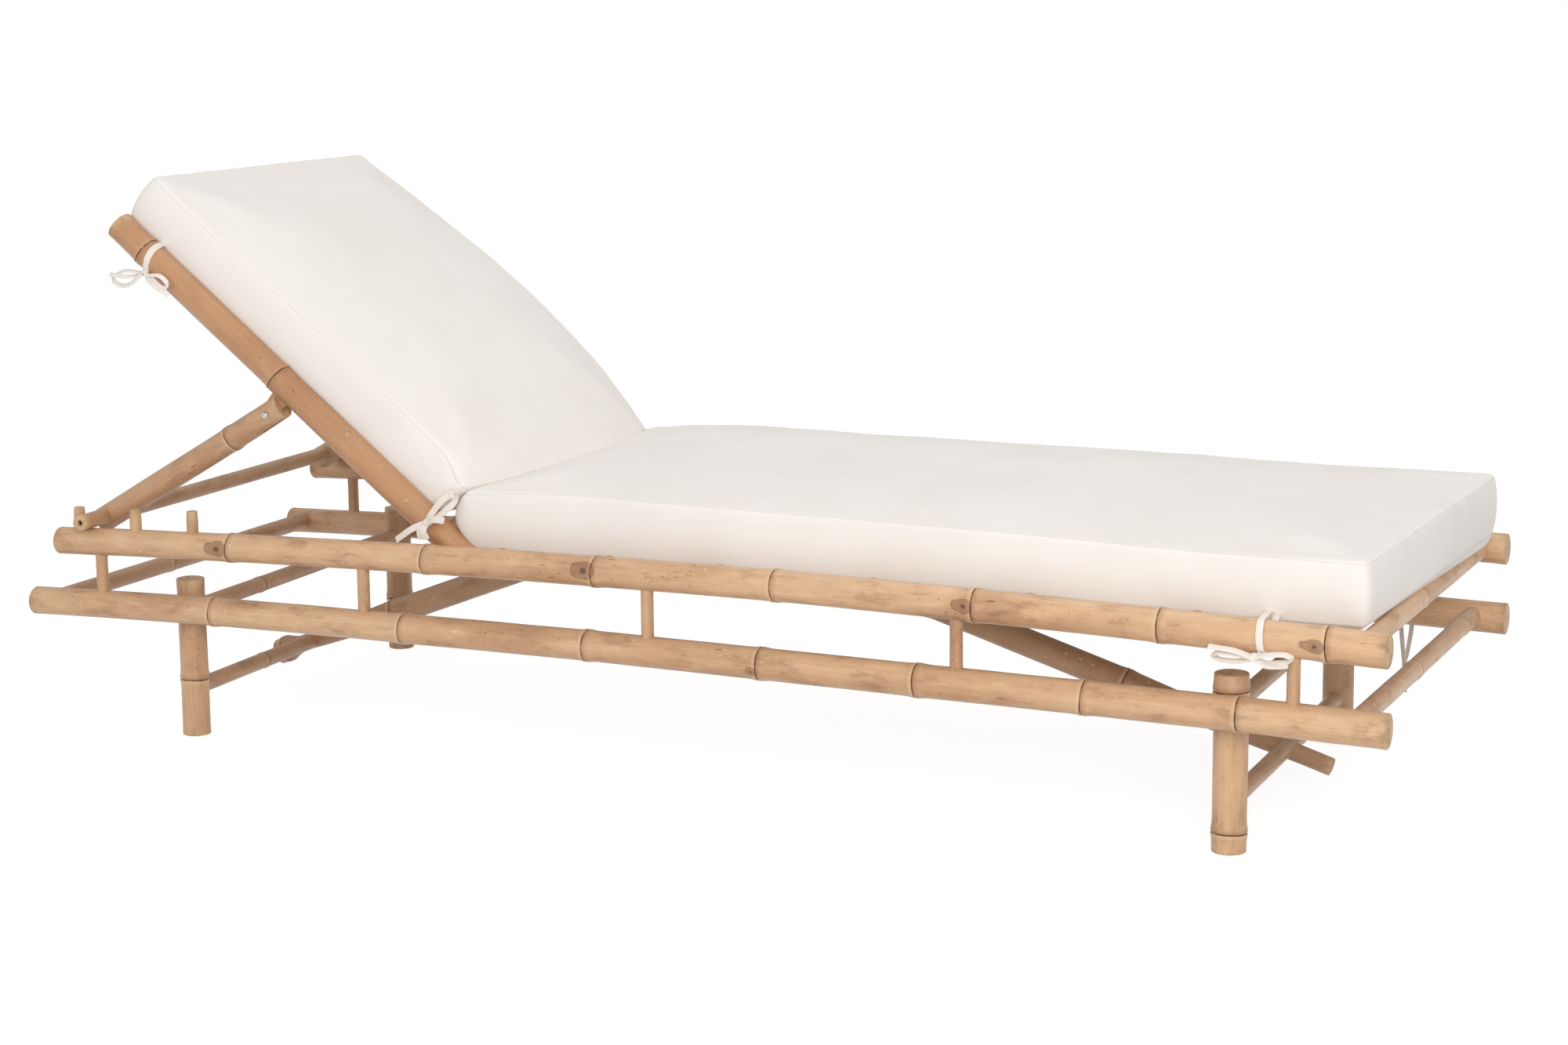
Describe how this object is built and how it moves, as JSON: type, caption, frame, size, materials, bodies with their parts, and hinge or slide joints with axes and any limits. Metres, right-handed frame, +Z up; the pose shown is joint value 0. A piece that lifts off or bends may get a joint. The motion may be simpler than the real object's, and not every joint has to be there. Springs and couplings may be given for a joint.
{
  "type": "sun lounger",
  "caption": "Low bamboo sun lounger with a reclining back on a swinging prop and two tied flat cushions.",
  "frame": {"origin": "on the floor, below the middle of the lounger's length and width", "axes": "+X along the lounger from head to foot, +Z up, so -Y is the side nearer the picture's camera"},
  "size_m": [2.052, 0.756, 0.8283],
  "materials": {
    "bamboo": "light tan bamboo poles, satin clear coat, with rings, specks and short dark scars",
    "bamboo_brown": "browner bamboo of the back, satin clear coat",
    "cushion_fabric": "matt off-white outdoor fabric with welted seams",
    "tie_tape": "flat cream cotton tape",
    "bolt_steel": "plain zinc-plated steel"
  },
  "bodies": {
    "frame": {"rail_upper_near": "bamboo", "rail_upper_far": "bamboo", "rail_lower_near": "bamboo", "rail_lower_far": "bamboo", "leg_head_near": "bamboo", "leg_head_far": "bamboo", "leg_foot_near": "bamboo", "leg_foot_far": "bamboo", "spindle_near_1": "bamboo", "spindle_near_2": "bamboo", "spindle_near_3": "bamboo", "spindle_near_4": "bamboo", "spindle_near_5": "bamboo", "spindle_far_1": "bamboo", "spindle_far_2": "bamboo", "spindle_far_3": "bamboo", "spindle_far_4": "bamboo", "spindle_far_5": "bamboo", "peg_near_1": "bamboo", "peg_near_2": "bamboo", "peg_near_3": "bamboo", "peg_far_1": "bamboo", "peg_far_2": "bamboo", "peg_far_3": "bamboo", "crossbar_head": "bamboo", "crossbar_foot_lower": "bamboo", "crossbar_foot_upper": "bamboo", "stretcher_head_upper": "bamboo", "stretcher_head_lower": "bamboo", "stretcher_foot_upper": "bamboo", "stretcher_foot_lower": "bamboo", "brace_head": "bamboo", "brace_foot": "bamboo", "seat_pole_1": "bamboo", "seat_pole_2": "bamboo", "seat_pole_3": "bamboo", "seat_pole_4": "bamboo", "seat_pole_5": "bamboo", "seat_pole_6": "bamboo", "hinge_rod": "bamboo", "seat_cushion": "cushion_fabric", "tie_foot_near": "tie_tape", "tie_foot_far": "tie_tape"},
    "back": {"stile_near": "bamboo_brown", "stile_far": "bamboo_brown", "back_bar_top": "bamboo_brown", "back_pole_1": "bamboo_brown", "back_pole_2": "bamboo_brown", "lug_near": "bamboo_brown", "lug_far": "bamboo_brown", "back_cushion": "cushion_fabric", "tie_head_near": "tie_tape", "tie_head_far": "tie_tape", "tie_hinge_near": "tie_tape", "tie_hinge_far": "tie_tape"},
    "prop": {"strut_near": "bamboo", "strut_far": "bamboo", "prop_rod": "bamboo", "pivot_bolt_near": "bolt_steel", "pivot_bolt_far": "bolt_steel"}
  },
  "joints": [
    {"name": "back_recline", "type": "hinge", "parent": "frame", "child": "back", "pos_m": [-0.315, 0, 0.30558], "axis": [0, 1, 0], "range_deg": [0, 24]},
    {"name": "prop_swing", "type": "hinge", "parent": "back", "child": "prop", "pos_m": [-0.63005, 0, 0.48909], "axis": [0, 1, 0], "range_deg": [0, 65]}
  ]
}
